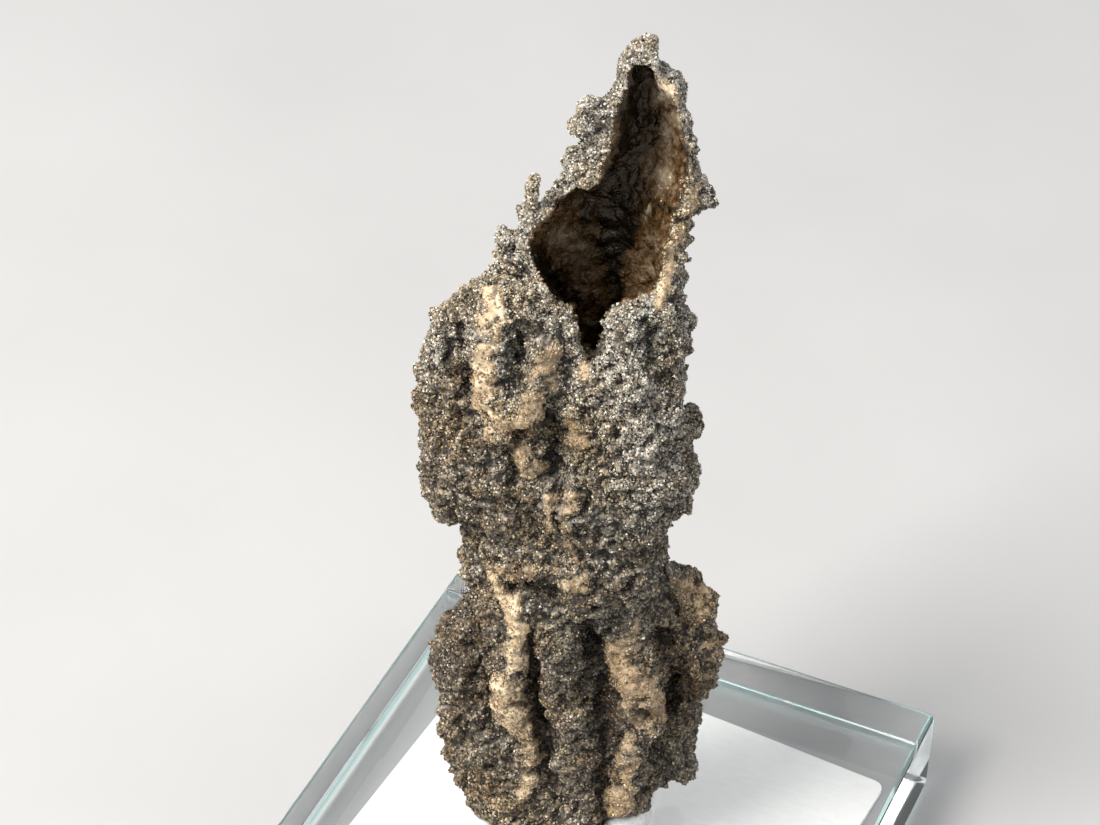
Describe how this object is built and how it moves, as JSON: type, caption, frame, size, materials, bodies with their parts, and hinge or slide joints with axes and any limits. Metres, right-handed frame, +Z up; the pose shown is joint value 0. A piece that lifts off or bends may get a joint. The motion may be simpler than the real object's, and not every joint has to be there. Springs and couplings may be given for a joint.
{
  "type": "mounted fulgurite specimen",
  "caption": "Crusty upright fulgurite with a glassy hollow open at its top, fixed by a bead of putty on a square clear display block.",
  "frame": {"origin": "centre of the card's underside, on the surface that the block stands on", "axes": "+Z up along the specimen; +X and +Y along the block's sides; the specimen's open side faces 25 degrees from -Y towards +X"},
  "size_m": [0.05, 0.05, 0.0925],
  "materials": {
    "fused_sand": "rough crust of fused sand grains with smooth tan seams and a glassy brown hollow",
    "pale_putty": "soft, faintly glossy, pale grey-white",
    "clear_acrylic": "clear and polished, with a faint cyan tint at the edges",
    "white_card": "matt white"
  },
  "bodies": {
    "root": {"fulgurite": "fused_sand", "mounting_putty": "pale_putty", "clear_block": "clear_acrylic", "backing_card": "white_card"}
  },
  "joints": []
}
